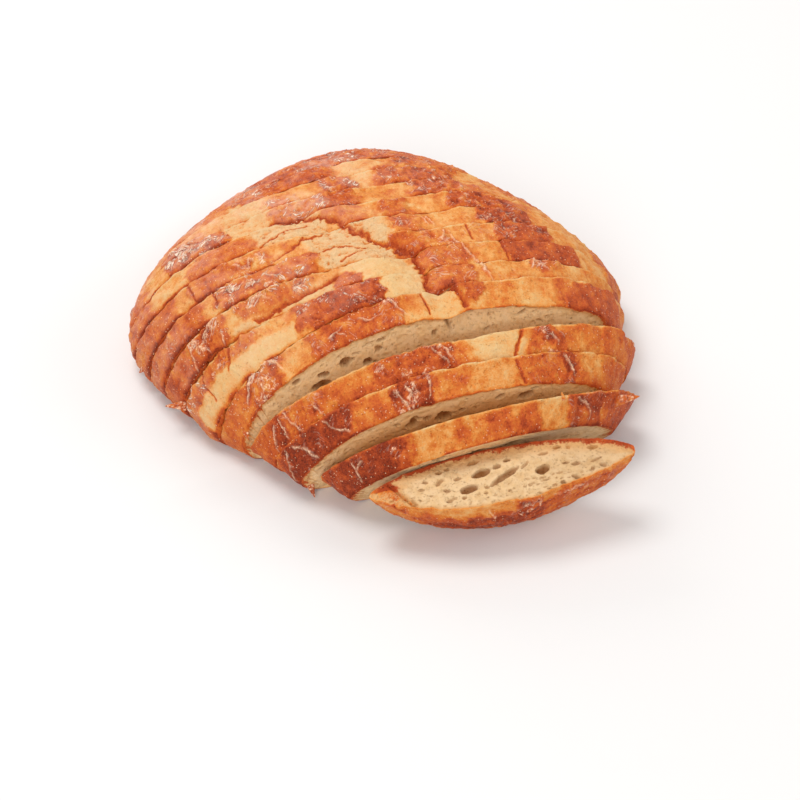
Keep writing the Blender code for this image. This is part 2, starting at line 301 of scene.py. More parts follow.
crustStretch = {   # waves in a millimetre along s, y and z of the noises that are drawn out
    "streaks": (0.62, 0.22, 1), "cross": (0.24, 0.55, 1), "fibres": (0.22, 0.75, 1),
    "bakedGrain": (0.62, 0.20, 1),
}

crustTone = {   # how far each thing browns the crust, or pales it
    "base": 0.42, "front": 0.11, "back": 0.22, "leftFlank": 0.19, "rightFlank": 0.10, "broad": 0.22,
    "blotch": 0.20, "mottle": 0.08, "fleck": 0.09, "streak": 0.15, "outline": 0.03, "reliefLightShade": 0.14,
    "pit": 0.32, "tornHollow": 0.16, "creaseShade": 0.22, "foldShadow": 0.18, "lipHighlight": 0.34,
    "gapShade": 0.22, "darkest": 0.93,
    "hold": 0.55, "rest": 0.70,   # of a patch's browning past the hold, this share counts
}

patchEdge = {   # raggedness of a patch's edge: size and reach in millimetres
    "far": (7.5, 3.6), "near": (2.8, 0.9), "fine": (1.1, 0.5),
}


def reachingCuts(entries, near, far):
    # the entries that lie on the slice between these two cuts; those that end near a cut run on past it
    least, close, past = 2.5, 2.6, 5
    kept = []
    for low, high, first, last, *rest in entries:
        if min(last, far) - max(first, near) > least:
            first, last = first - past * (abs(first - near) < close), last + past * (abs(last - far) < close)
            kept.append((low, high, first, last, *rest))
    return kept


def patchField(u, v, entries, fields):
    # each entry sets the fields inside a rounded box; outside is the distance from its edge, made ragged by
    #     # noise; the outline is a bell over that edge, partly a painted edge shade, round brown patches only
    flat = flatPlace(u, v)
    ragged = sum(softNoise(flat, size, 61 + index) * reach
                 for index, (size, reach) in enumerate(patchEdge.values()))
    outline = 0 * u
    for low, high, near, far, turned, *levels, soft in entries:
        turn = math.radians(turned)
        du, dv = u - (low + high) / 2, v - (near + far) / 2
        across, along = du * math.cos(turn) + dv * math.sin(turn), dv * math.cos(turn) - du * math.sin(turn)
        corner = min(high - low, far - near) * 0.40
        qu, qv = abs(across) - (high - low) / 2 + corner, abs(along) - (far - near) / 2 + corner
        outside = np.hypot(np.maximum(qu, 0), np.maximum(qv, 0)) + np.minimum(np.maximum(qu, qv), 0) - corner
        outside = outside + ragged * min(max(soft * 0.5 - 0.2, 0.2), 1)
        mask = 1 - smooth(outside, -soft * 1.5, soft * 0.9)
        held = [min(levels[0], crustTone["hold"]) + max(levels[0] - crustTone["hold"], 0) * crustTone["rest"]]
        for field, level in zip(fields, held + levels[1:]):
            field += (level - field) * mask
        if levels[0] > 0.5 and soft < 3:
            line = bell(outside + 0.5, 0.8) * smooth(levels[0], 0.5, 0.8)
            outline = np.maximum(outline * (1 - mask), line)
    return outline


def bakedLook(flat, place, browning, wrinkle, torn, outline, foldMask, foldHalo, cleftShade, cleftDepth):
    # flat is the unrolled place and place the one in the loaf, in millimetres; creases gather in clumps; the
    # relief is a sum of noises, raised islands, torn crumb, creases and folds, less the clefts
    height, grains, tone = crustRelief, crustGrain, crustTone
    wrinkle = np.maximum(wrinkle, 0.45 * foldHalo)
    clump = softNoise(flat, *grains["clump"]) + 0.35 * softNoise(flat, *grains["fineClump"])
    clump = smooth(clump + 0.5 * foldHalo, -0.05, 0.45)
    drift = softNoise(flat, *grains["drift"])[..., None] * np.array([2.6, 1.6, 0])
    streaks = ridgeNoise((flat + drift) * np.array(crustStretch["streaks"]), 1.0, 21, 2.6)
    cross = ridgeNoise((flat + drift) * np.array(crustStretch["cross"]), 1.0, 26, 2.6)
    crinkle = ridgeNoise(flat + drift, *grains["crinkle"], 3.0)
    creases = np.maximum(np.maximum(streaks, 0.9 * cross), 0.8 * crinkle)
    creases = creases * wrinkle * (0.15 + 0.85 * clump)

    island = smooth(browning, 0.44, 0.60)
    dimple = softNoise(place, *grains["dimple"]) + 0.5 * softNoise(place, *grains["fineDimple"])
    crag = ridgeNoise(flat + drift, *grains["crag"], 1.6) * wrinkle
    fibres = softNoise((flat + 1.5 * drift) * np.array(crustStretch["fibres"]), 1.0, 32)
    rough = softNoise(place, *grains["rough"]) * 0.6 + fibres * 0.8
    rough = rough + softNoise(place, *grains["fineRough"]) * 0.30
    pits = softNoise(place, *grains["pit"]) + 0.5 * softNoise(place, *grains["finePit"])
    pits = smooth(pits, 0.45, 0.85) * torn
    relief = (height["swell"] * softNoise(place, *grains["swell"]) + height["dimple"] * dimple
              + height["grain"] * softNoise(place, *grains["grain"])
              + height["island"] * (island - 0.5) * (1 - torn)
              + height["torn"] * torn * (rough - 0.4 - 1.1 * pits)
              + height["crag"] * (crag - 0.3 * wrinkle)
              + height["wrinkle"] * creases + height["fold"] * foldMask - cleftDepth)

    # browning strewn over the patches, fainter on pale, torn and very dark crust
    strewn = tone["blotch"] * softNoise(flat, *grains["blotch"])
    strewn = strewn + tone["mottle"] * softNoise(flat, *grains["mottle"])
    strewn = strewn + tone["fleck"] * softNoise(flat, *grains["fleck"]) + tone["outline"] * outline
    grain = softNoise((flat + 0.5 * drift) * np.array(crustStretch["bakedGrain"]), 1.0, 48)
    strewn = strewn + tone["streak"] * (0.3 + 0.7 * wrinkle) * grain
    strewn = strewn * (0.45 + 0.55 * smooth(browning, 0.15, 0.45)) * (1 - 0.25 * torn)
    strewn = strewn * (1 - 0.2 * smooth(browning, 0.6, 0.85))
    # painted light and shade from the relief: crests and swells paler, dips darker
    browning = browning + strewn - tone["reliefLightShade"] * (dimple * 0.7 + crag)
    browning = browning + tone["pit"] * pits + tone["tornHollow"] * torn * np.clip(-rough, 0, 1)
    # painted shade between the crests of the creases, and a painted shadow beside the folds
    browning = (browning + tone["creaseShade"] * wrinkle * clump * island * (0.45 - creases)
                + tone["foldShadow"] * foldHalo * (1 - foldMask))
    # painted shade in the clefts
    browning = browning + (tone["darkest"] - browning) * np.clip(cleftShade * 1.2, 0, 1) * 0.8

    shine = np.clip(0.25 + 0.75 * wrinkle * clump + 0.2 * island - torn, 0, 1)
    broken = smooth(softNoise(flat, *grains["broken"]), -0.25, 0.25)
    # painted highlight on the crests of the creases and along the folds
    light = smooth(creases, 0.40, 0.80) * (0.30 + 0.70 * clump) * (0.35 + 0.65 * island) * broken
    light = np.clip(np.maximum(light, foldMask * (0.62 + 0.38 * broken)), 0, 1) * (1 - cleftShade)

    # flour dust with a painted sheen over it lies on the top and the back, thinner towards the right
    dusted = smooth(place[..., 1], -4, 16) * (1 - 0.8 * smooth(place[..., 0], 80, 130))
    dustSheenNoise = softNoise(flat, *grains["flour"]) + 0.4 * softNoise(flat, *grains["fineFlour"])
    dusted = dusted * smooth(dustSheenNoise, -0.5, 0.4) * (1 + 1.7 * smooth(place[..., 1], 80, 115))
    look = {"browning": np.clip(browning, 0, tone["darkest"]), "shine": shine, "light": light, "torn": torn,
            "island": island, "dusted": dusted * (1 - cleftShade),
            "creased": np.clip(wrinkle * clump * 1.1, 0, 1), "unrolled": flat + 0.7 * drift}
    return relief, look


foldForm = {   # millimetres: a fold's half width and how uneven it is, the halo of creases beside it
    "width": 0.42, "uneven": 0.16, "size": 2.4, "halo": 1.7, "strength": 0.90, "taper": 0.4,
}


def lineMasks(u, v, foldLines, cleftLines, wander):
    # folds are thin bells with uneven width and strength, tapered at their ends, in a wider halo of creases;
    # clefts are bells of a given depth
    uneven = softNoise(flatPlace(u, v), foldForm["size"], 27)
    foldMask, foldHalo, cleftShade, cleftDepth = 0 * u, 0 * u, 0 * u, 0 * u
    for corners in foldLines:
        away, along = lineDistance(u + wander[..., 0] * 0.6, v + wander[..., 1] * 0.6, corners)
        taper = smooth(1 - abs(along * 2 - 1), 0, foldForm["taper"])
        width = (foldForm["width"] + foldForm["uneven"] * uneven) * (0.6 + 0.4 * taper)
        strength = np.clip(foldForm["strength"] + 0.5 * uneven, 0.3, 1)
        foldMask = np.maximum(foldMask, bell(away, width) * strength * taper ** 0.5)
        foldHalo = np.maximum(foldHalo, bell(away, foldForm["halo"]) * taper)
    for depth, width, ragged, corners in cleftLines:
        away, _ = lineDistance(u + wander[..., 0] * ragged, v + wander[..., 1] * ragged, corners)
        dip = bell(away, width)
        cleftShade, cleftDepth = np.maximum(cleftShade, dip), np.maximum(cleftDepth, depth * dip)
    return foldMask, foldHalo, cleftShade, cleftDepth


wanderParts = (   # how patches, folds and clefts are pushed about: for s and for y, size, seed and reach
    ((9.0, 11, 3.2), (3.2, 12, 1.5), (1.2, 15, 0.5)),
    ((8.0, 13, 2.0), (3.0, 14, 1.1), (1.2, 16, 0.5)),
)


def wandering(flat):
    # for each direction, the sum of three noises
    return np.stack([sum(softNoise(flat, size, seed) * reach for size, seed, reach in parts)
                     for parts in wanderParts], -1)


def crustPattern(s, y, place, near, far, toFront, toBack):
    # s and y, the cuts and the ways to them in millimetres, place the point in the loaf; gives the relief and
    #     # the look's attributes; each slice stands a little proud at its back edge, with a lip painted paler
    #     as a
    #     # highlight, and low at its front edge, with a painted shade there, wider and stronger on the flanks
    flat = flatPlace(s, y)
    wander = wandering(flat)
    browning = (crustTone["base"] + crustTone["front"] * smooth(-y, -4, 4)
                + crustTone["broad"] * softNoise(flat, *crustGrain["broad"]))
    browning += (crustTone["back"] * smooth(y, 112, 150) + crustTone["leftFlank"] * smooth(-s, 100, 140)
                 + crustTone["rightFlank"] * smooth(s, 105, 140))
    wrinkle, torn = 0.15 + 0 * s, 0 * s
    entries = reachingCuts(patches, near, far)
    outline = patchField(s + wander[..., 0], y + wander[..., 1], entries, [browning, wrinkle, torn])
    uneven = softNoise(flat, *crustGrain["uneven"])
    flank = (smooth(-s, 50, 105) + 0.4 * smooth(s, 60, 115)) * (near > 0)
    gapShadeMask = (1 + 1.4 * flank) * bell(toFront, 0.8 + 0.7 * flank) * (0.8 - uneven)
    browning -= crustTone["lipHighlight"] * bell(toBack, 0.9) * (0.7 + uneven)
    browning += crustTone["gapShade"] * gapShadeMask
    lines = lineMasks(s, y, folds, clefts, wander)
    relief, look = bakedLook(flat, place, browning, wrinkle, torn, outline, *lines)
    lip = 1 + crustRelief["unevenLip"] * softNoise(flat, *crustGrain["lip"]) * 2
    relief += crustRelief["backLip"] * lip * bell(toBack, crustRelief["backLipWidth"])
    step = bell(toFront, crustRelief["frontStepWidth"])
    relief -= crustRelief["frontStep"] * (1 + 3.5 * flank) * step
    matte = bell(toFront, 1.5)
    look["shine"] -= 1.2 * matte
    look["dusted"] *= 1 - matte
    return relief, look


# the heel's crust: x along it from its middle, down from the cut along the crust, in millimetres
heelPatches = [
    (-80, 80, 6, 40, 0, 0.70, 0.3, 0.0, 3.0), (-46, -2, -4, 5, 0, 0.36, 0.1, 0.0, 3.0),
    (-50, 24, 9, 30, 0, 1.00, 0.4, 0.0, 3.0), (-74, -50, -4, 30, 0, 0.58, 0.4, 0.0, 3.0),
    (22, 62, 1.5, 26, 0, 0.76, 0.6, 0.0, 3.0), (3, 17, 1.5, 13, 0, 0.96, 1.0, 0.0, 1.5),
]
heelFolds = [[(14, 1), (17, 6), (18, 12)], [(6, 6), (10, 4), (13, 7)], [(24, 4), (33, 3), (42, 4)],
             [(-10, 3), (-7, 9), (-8, 14)]]
heelClefts = [(0.8, 0.5, 0.5, [(-56, -1), (-52, 6)])]


def heelPattern(x, down, baseSide, place):
    # the crown side has patches, folds and clefts as the slices have; the base side is baked dark and smooth
    flat = flatPlace(x, down) + np.array([400.0, 300.0, 0])
    wander = wandering(flat) * smooth(down, 0, 3)[..., None]
    browning = 0.46 + crustTone["broad"] * softNoise(flat, *crustGrain["broad"])
    wrinkle, torn = 0.2 + 0 * x, 0 * x
    outline = patchField(x + wander[..., 0], down + wander[..., 1], heelPatches, [browning, wrinkle, torn])
    browning += (0.93 - browning) * baseSide
    outline = outline * (1 - baseSide)
    return bakedLook(flat, place, browning, wrinkle * (1 - baseSide), torn, outline,
                     *lineMasks(x, down + 100 * baseSide, heelFolds, heelClefts, wander))


# cut faces
crumb = {   # sizes in millimetres
    "faceLength": 200,
    # for each kind of hole the number on a face of that length, and the least and most radius
    "holes": [(170, 0.35, 0.7), (45, 0.7, 1.3), (10, 1.4, 2.6)],
    "longest": 2.1,
    "tilt": 35,           # degrees that a strewn hole leans, at most
    "margin": 3, "topMargin": 2,
    "depthShare": 1.4,
    "deepest": 4.2,
    "unevenness": 0.26,
    "dents": 0.13,
    "grain": 0.10,
    # partly the crust's edge, partly a painted shade in the narrow gaps between the standing slices
    "closedRimAndGapShade": 0.35,    # the standing slices' brown edge reaches further in
    # painted shade that grows on a face away from its crust, this much on each named face
    "shading": {"slice05Front": 0.0, "slice04Front": 0.5},   # how far a face darkens away from its crust
    "seed": 4,
}

# the large holes that show in a cut face: x from its middle and z on it, half width, half height, degrees
knownHoles = {
    "slice01Back": [
        (-10, -4, 5.3, 2.4, -18), (1, 0, 9.4, 1.9, -31), (-17.5, 4.5, 5.0, 2.4, -11),
        (20, -0.5, 4.1, 2.8, -29), (-13, -11.5, 3.1, 1.6, -8), (3.5, -9.5, 1.9, 1.4, -11),
        (29, -12.5, 2.1, 1.4, -8), (22, -10, 2.7, 1.1, -11), (34.5, -11.5, 1.3, 1.0, -29),
        (46.5, -9, 2.8, 1.3, 5), (-2, -6.5, 2.4, 1.4, -14), (-22, -2.5, 1.9, 1.1, -11),
        (-31, -2.5, 3.0, 1.2, -42), (-38, -4, 1.6, 1.1, 0), (-30.5, -8.5, 2.0, 1.4, -21),
        (46.5, -1, 3.4, 0.9, -18), (36.5, -0.5, 2.3, 1.3, 3), (31.5, -2, 1.6, 0.9, 0),
        (-40.5, 0.5, 1.8, 0.8, 0), (-9.5, 8.5, 1.3, 0.8, -6), (20, 6.5, 3.1, 0.7, -7),
        (-26.5, -10, 1.6, 1.1, 0), (12, -5, 3.4, 0.9, -41),
    ],
    "slice05Front": [
        (-56, 48, 3.2, 2.1, -4), (-57, 41, 5.4, 3.2, 9), (-44.5, 53, 3.2, 3.0, 34), (-41, 54, 1.7, 1.3, 12),
        (-32.5, 50, 2.7, 2.3, 7), (-28.5, 48.5, 1.4, 1.2, 0), (-39, 57.5, 2.2, 0.9, 4),
        (-27, 57.5, 2.2, 1.2, -7), (-31.5, 62, 1.9, 0.8, 7), (-70.5, 47.5, 2.8, 1.6, 33),
        (81.5, 50.5, 3.2, 1.2, -29),
    ],
    "slice03Front": [
        (-11, 43, 4.6, 4.2, 13), (-27.5, 42, 3.7, 3.2, 7), (-19.5, 45, 2.4, 2.2, 50),
        (-25.5, 46.5, 4.2, 1.8, 3), (18.5, 49.5, 2.7, 2.4, 34), (33, 44.5, 4.3, 3.5, 3),
        (-1, 45.5, 2.4, 1.6, 0),
    ],
    "slice02Front": [
        (11.5, 39, 5.5, 4.6, 12), (-7, 39.5, 4.4, 3.6, 6), (-27.5, 43, 4.8, 3.8, -9),
        (-18, 52, 3.9, 2.4, 0),
    ],
}

# where a face steps back to the right of a line: its two ends, how deep, how far the step runs on, and from
# what height
faceSteps = {"slice05Front": ((6.5, 72), (11.0, 60), 5.2, 30, 54)}


def faceHoles(name, low, high):
    # the known holes, then seeded ones strewn over the face's box
    draw = np.random.default_rng(crumb["seed"] + sum(map(ord, name)))
    holes = list(knownHoles.get(name, []))
    for number, least, most in crumb["holes"]:
        strewn = least < 1 or name not in knownHoles
        number = int(number * (high[0] - low[0]) / crumb["faceLength"]) if strewn else 0
        radius = least * (most / least) ** draw.random(number)
        holes += zip(draw.uniform(low[0] + crumb["margin"], high[0] - crumb["margin"], number),
                     draw.uniform(crumb["margin"], high[1] - crumb["topMargin"], number),
                     radius * draw.uniform(1, crumb["longest"], number), radius,
                     draw.uniform(-crumb["tilt"], crumb["tilt"], number))
    return holes


def crumbRelief(x, z, name):
    # depth in millimetres under the flat cut: half-ellipsoid holes, the deepest wins, plus slow and fine
    # noise, plus the step, which is steep at its line and dies away to the right
    flat = flatPlace(x, z)
    seed = 50 + sum(map(ord, name)) % 40
    wx = x + softNoise(flat, 2.6, seed) * 0.6
    wz = z + softNoise(flat, 2.6, seed + 1) * 0.5
    depth, hollow = 0 * x, 0 * x
    for hx, hz, wide, tall, tilt in faceHoles(name, (x.min(), z.min()), (x.max(), z.max())):
        near = np.nonzero((abs(wx - hx) < wide + tall) & (abs(wz - hz) < wide + tall))
        turn = math.radians(tilt)
        dx, dz = wx[near] - hx, wz[near] - hz
        u, v = dx * math.cos(turn) + dz * math.sin(turn), dz * math.cos(turn) - dx * math.sin(turn)
        inside = np.sqrt(np.maximum(1 - (u / wide) ** 2 - (v / tall) ** 2, 0))
        depth[near] = np.maximum(depth[near], min(tall * crumb["depthShare"], crumb["deepest"]) * inside)
        # painted shade inside each hole
        hollow[near] = np.maximum(hollow[near], smooth(inside, 0.0, 0.7) * min(1, 0.35 + tall * 0.3))
    uneven = (crumb["unevenness"] * (softNoise(flat, 9, seed + 2) + 1)
              + crumb["dents"] * (softNoise(flat, 3.4, seed + 4) + 1))
    if name in faceSteps:
        (x0, z0), (x1, z1), step, reach, height = faceSteps[name]
        beyond = ((x - x0) * (z0 - z1) + (z - z0) * (x1 - x0)) / math.hypot(x1 - x0, z1 - z0)
        high = smooth(z, height, height + 8)
        uneven += step * smooth(beyond, -0.5, 0.5) * bell(np.maximum(beyond, 0), reach) * high
        # painted shade in the crease at the step and under its lip
        hollow = np.maximum(hollow, high * bell(beyond - 0.6, 0.8))
        above = smooth(z - z0 + 7 - 0.3 * beyond, 0, 2.5)
        hollow = np.maximum(hollow, 0.9 * smooth(beyond, -0.4, 0.6) * above)
    return depth + uneven + crumb["grain"] * (softNoise(flat, 1.3, seed + 3) + 1), hollow


def faceRows(edge, angle, count, name, inward):
    # columns from the base line up to the crust's edge: base + (edge - base) * share, pressed in by the
    #     # crumb's relief; also the way in from the rim, the painted shade in its holes and away from the
    #     crust
    share = 1 - (1 - np.linspace(0, 1, count)[:, None]) ** grid["facePower"]
    base = edge[0] + (edge[-1] - edge[0]) * ((1 - np.cos(angle)) / 2)[:, None]
    rows = base + (edge - base) * share[..., None]
    step = np.gradient(edge, axis=0)
    level = abs(step[:, 0]) / np.maximum(np.hypot(step[:, 0], step[:, 2]), 1e-9)
    tall = np.linalg.norm(edge - base, axis=1) * 1000
    fromCrust = (1 - share) * tall * np.maximum(level, 0.15)
    fromBase = share * tall
    rim = np.minimum(fromCrust, fromBase)
    if count == grid["capRows"]:
        return rows, rim, 0 * rim, 0 * rim
    middle = (edge[0, 0] + edge[-1, 0]) / 2
    depth, hollow = crumbRelief((rows[..., 0] - middle) * 1000, rows[..., 2] * 1000, name)
    fade = smooth(rim, 0.2, 2.0)
    rows[..., 1] += inward * depth * fade * mm
    return rows, rim, hollow * fade, smooth(fromCrust, 2, 20) * crumb["shading"].get(name, 1)


def rolled(ids):
    # the quads of a surface whose last column meets its first
    around = np.roll(ids, -1, axis=1)
    return np.stack([ids[:-1], ids[1:], around[1:], around[:-1]], -1).reshape(-1, 4)


def carried(look, before, after):
    # the crust's attributes, with those of its edges carried over the rows before and after it
    return {key: np.concatenate([np.repeat(field[:1], before, 0), field, np.repeat(field[-1:], after, 0)])
            for key, field in look.items()}


# one slice: columns across the loaf, rows up the front face, over the crust and down the back face
grid = {"columns": 600, "crustRows": 31, "endRows": 60, "openRows": 80, "halfOpenRows": 34, "hiddenRows": 8,
        "capRows": 4, "endReach": 0.9975, "facePower": 1.5}

leaning = {   # front foot, slid sideways, lean and turn in degrees, width and height against the dome
    -1: {"foot": (0.1008, -0.0146), "sideways": 0.0034, "lean": 16.0, "turn": 2.04,
         "width": 1.000, "height": 0.970},
    -2: {"foot": (0.1008, -0.0301), "sideways": 0.0029, "lean": 16.5, "turn": 2.03,
         "width": 0.990, "height": 0.960},
    -3: {"foot": (0.1008, -0.0450), "sideways": 0.0123, "lean": 30.0, "turn": 1.83,
         "width": 0.992, "height": 0.955},
}

heel = {   # a lens with a crown side and a base side, shrinking towards its tip
    "length": 0.1330, "crown": 0.0176, "crownPower": 1.86, "base": 0.0178, "basePower": 1.06, "skew": -0.506,
    "depth": 0.0341, "fall": 1.104, "round": 3.10, "tip": -0.0035, "reach": 0.985,
    "roll": 5.27, "lean": 96.85, "turn": -8.98, "place": (0.1081, -0.0848),
    "columns": 640, "rings": 70, "faceRows": 72, "capRings": 6,
    "foldedEnd": ((-56, -6), (-48.5, 5)),   # the line on the cut face left of which crust is folded over it
    "baseRim": 0.34,                        # the base's brown edge reaches further in
    "toasted": 0.18,                        # and is this much browner
    "dimmed": 0.17,                         # how far its crumb is darkened, and more towards its right end
}

openFaces = {   # how finely each slice's front and back face are made
    -3: ("openRows", "halfOpenRows"), -2: ("openRows", "halfOpenRows"), -1: ("openRows", "halfOpenRows"),
    0: ("openRows", "hiddenRows"), 11: ("hiddenRows", "capRows"),
}


def cutPlace(cut, side, moved):
    # one face of a cut of the block as y over x, for a slice that is then moved sideways
    slope, crossing = loaf["turnedCuts"].get(cut, (0.0, 0.0))
    spread = loaf["wedge"] * (loaf["wedgeCuts"][0] <= cut <= loaf["wedgeCuts"][1])

    def place(x):
        opened = np.clip((loaf["wedgeStart"] - x) / loaf["wedgeReach"], 0, 1) ** 2
        turned = slope * (x + moved - crossing)
        return cut * loaf["sliceThickness"] + side * (loaf["gap"] / 2 + spread * opened) + turned
    return place


def cutPlaces(k):
    # the front and back of slice k as y over x, and its rows' shares of the way between them
    thick = loaf["sliceThickness"]
    even = np.linspace(0, 1, grid["crustRows"])
    if k < 0:
        return lambda x: k * thick + 0 * x, lambda x: (k + 1) * thick + 0 * x, even
    moved = slide(k + 0.5)
    if k == 11:
        end = np.sin(np.linspace(0, math.pi / 2, grid["endRows"])) * grid["endReach"]
        return cutPlace(k, 1, moved), lambda x: loafTip() + 0 * x, end
    return cutPlace(k, 1, moved), cutPlace(k + 1, -1, moved), even


def rowEnds(place):
    # left and right foot of the crust on each row, read off a fine row of samples
    x = np.linspace(-0.10, 0.30, 4001)
    inside = planRadius(x[None, :], place(x[None, :])) < 0.9999
    return x[inside.argmax(1)][:, None], x[len(x) - 1 - inside[:, ::-1].argmax(1)][:, None]


def crustRows(place, angle):
    # each row: x is the middle minus half the width times cos(angle), z the dome over it, the foot drawn in
    # on a quarter ellipse and the flanks drawn in; also the way along each outline, nought over the middle
    left, right = rowEnds(place)
    middle, half = (left + right) / 2, (right - left) / 2
    x = middle - half * np.cos(angle)
    z = crustHeight(x, place(x))
    z[:, 0] = z[:, -1] = 0
    sunk = np.clip((loaf["footHeight"] - z) / loaf["footHeight"], 0, 1)
    inset = np.minimum(loaf["footInset"], 0.35 * half) * (1 - np.sqrt(1 - sunk ** 2))
    x = x - np.sign(x - middle) * inset + drawnIn(x, place(x), z, middle)
    along = np.cumsum(np.hypot(np.diff(x, axis=1, prepend=x[:, :1]), np.diff(z, axis=1, prepend=0)), axis=1)
    start = [np.interp(loaf["middle"][0], row, way) for row, way in zip(x, along)]
    return np.stack([x, place(x), z], -1), along - np.array(start)[:, None]


def evenAngles(place, count):
    # angles whose points lie evenly along the middle row's outline
    angle = np.linspace(0, math.pi, 1500)
    along = crustRows(place, angle)[1]
    along = along[len(along) // 2]
    return np.interp(np.linspace(along[0], along[-1], count), along, angle)


def outward(rows):
    # at right angles to each outline within its upright plane
    tangent = np.gradient(rows, axis=1)
    normal = np.stack([-tangent[..., 2], 0 * tangent[..., 0], tangent[..., 0]], -1)
    return normal / np.maximum(np.linalg.norm(normal, axis=-1), 1e-9)[..., None]


def tipped(points, lean, turn):
    # turned about X by the lean, then about Z by the turn
    a, b = math.radians(lean), math.radians(turn)
    x, y, z = points[..., 0], points[..., 1], points[..., 2]
    y, z = y * math.cos(a) - z * math.sin(a), y * math.sin(a) + z * math.cos(a)
    return np.stack([x * math.cos(b) - y * math.sin(b), x * math.sin(b) + y * math.cos(b), z], -1)


def slicePlaced(points, k):
    # from the slice's own place to the frame
    foot = np.array([*loaf["footInFrame"], 0.0])
    if k >= 0:
        return points + foot + np.array([slide(k + 0.5), 0, 0])
    lean = leaning[k]
    points = tipped(points - np.array([lean["foot"][0], 0, 0]), lean["lean"], lean["turn"])
    return points + foot + np.array([lean["foot"][0] + lean["sideways"], lean["foot"][1], 0])


def sliceSurface(k):
    # the crust's rows with their pattern and relief
    front, back, share = cutPlaces(k)
    share = share[:, None]
    place = lambda x: front(x) * (1 - share) + back(x) * share
    angle = evenAngles(place, grid["columns"])
    rows, s = crustRows(place, angle)
    thick = loaf["leaningThickness" if k < 0 else "sliceThickness"] * 1000
    toFront, toBack = share * thick, (1 - share) * thick if k < 11 else 99 + 0 * share
    near = k * loaf["sliceThickness"] * 1000
    far = near + loaf["sliceThickness"] * 1000 if k < 11 else 300
    relief, look = crustPattern(s * 1000, rows[..., 1] * 1000, rows * 1000, near, far, toFront, toBack)
    relief += broadRelief(rows[..., 0], rows[..., 1], rows[..., 2]) * 1000
    width = crustRelief["edgeWidth"]
    relief -= crustRelief["edgeRounding"] * (bell(toFront, width) + bell(toBack, width))
    relief *= smooth(rows[..., 2], 0.0, 0.006)
    normal = outward(rows)
    if k < 0:
        middle = (rows[:, :1, 0] + rows[:, -1:, 0]) / 2
        rows[..., 0] = middle + (rows[..., 0] - middle) * leaning[k]["width"]
        rows[..., 2] *= leaning[k]["height"]
        rows[..., 1] = share * loaf["leaningThickness"]
    rows += normal * relief[..., None] * mm
    rows[..., 2] = np.maximum(rows[..., 2], 0)
    return rows, angle, look


def meshFrom(name, points, quads, kind, ends, values, materials):
    # quads with repeated corners become triangles or go; ends are faces of any size and take the last
    # material; points that no face uses are left out
    keep = np.stack([quads[:, i] != quads[:, i - 1] for i in range(4)], -1)
    sizes = keep.sum(1)
    good = sizes > 2
    corners, sizes, kind = quads[good][keep[good]], sizes[good], kind[good]
    corners = np.concatenate([corners, *ends])
    sizes = np.concatenate([sizes, [len(end) for end in ends]]).astype(np.int32)
    kind = np.concatenate([kind, [len(materials) - 1] * len(ends)]).astype(np.int32)
    used, corners = np.unique(corners, return_inverse=True)
    mesh = bpy.data.meshes.new(name)
    mesh.vertices.add(len(used))
    mesh.vertices.foreach_set("co", points.reshape(-1, 3)[used].astype(np.float32).ravel())
    mesh.loops.add(len(corners))
    mesh.loops.foreach_set("vertex_index", corners.astype(np.int32).ravel())
    mesh.polygons.add(len(sizes))
    mesh.polygons.foreach_set("loop_start", (np.cumsum(sizes) - sizes).astype(np.int32))
    mesh.polygons.foreach_set("material_index", kind)
    mesh.update(calc_edges=True)
    mesh.validate()
    for key, field in values.items():
        sort, entry, width = ("FLOAT_VECTOR", "vector", 3) if key == "unrolled" else ("FLOAT", "value", 1)
        field = field.reshape(-1, width)[used].astype(np.float32).ravel()
        mesh.attributes.new(key, sort, "POINT").data.foreach_set(entry, field)
    mesh.shade_smooth()
    mesh.set_sharp_from_angle(angle=math.radians(62))
    for material in materials:
        mesh.materials.append(material)
    return mesh


def sliceMesh(name, rows, frontCount, backCount, backKind, values, materials):
    # a strip of quads over the rows; the faces' end columns meet in the feet, and a base joins the two lowest
    # rows
    count, columns = rows.shape[:2]
    ids = np.arange(count * columns).reshape(count, columns)
    first, last = frontCount - 1, count - backCount
    for column in (0, -1):
        ids[:first, column] = ids[first, column]
        ids[last + 1:, column] = ids[last, column]
    quads = np.stack([ids[:-1, :-1], ids[:-1, 1:], ids[1:, 1:], ids[1:, :-1]], -1).reshape(-1, 4)
    kind = np.repeat([1] * first + [0] * (last - first) + [backKind] * (count - 1 - last), columns - 1)
    base = np.stack([ids[0, 1:-2], ids[-1, 1:-2], ids[-1, 2:-1], ids[0, 2:-1]], -1)
    leftEnd = np.concatenate([[ids[0, 1]], ids[first:last + 1, 0], [ids[-1, 1]]])
    rightEnd = np.concatenate([[ids[-1, -2]], ids[first:last + 1, -1][::-1], [ids[0, -2]]])
    return meshFrom(name, rows, np.concatenate([quads, base]), np.concatenate([kind, np.full(len(base), 2)]),
                    [leftEnd, rightEnd], values, materials)


def addPiece(mesh, number):
    # every mesh rides the root body, stands in for its slice's solid, and has the crust's slot
    piece = bpy.data.objects.new(mesh.name, mesh)
    bpy.context.scene.collection.objects.link(piece)
    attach(piece, "root")
    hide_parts("slice_%02d" % number)
    return piece


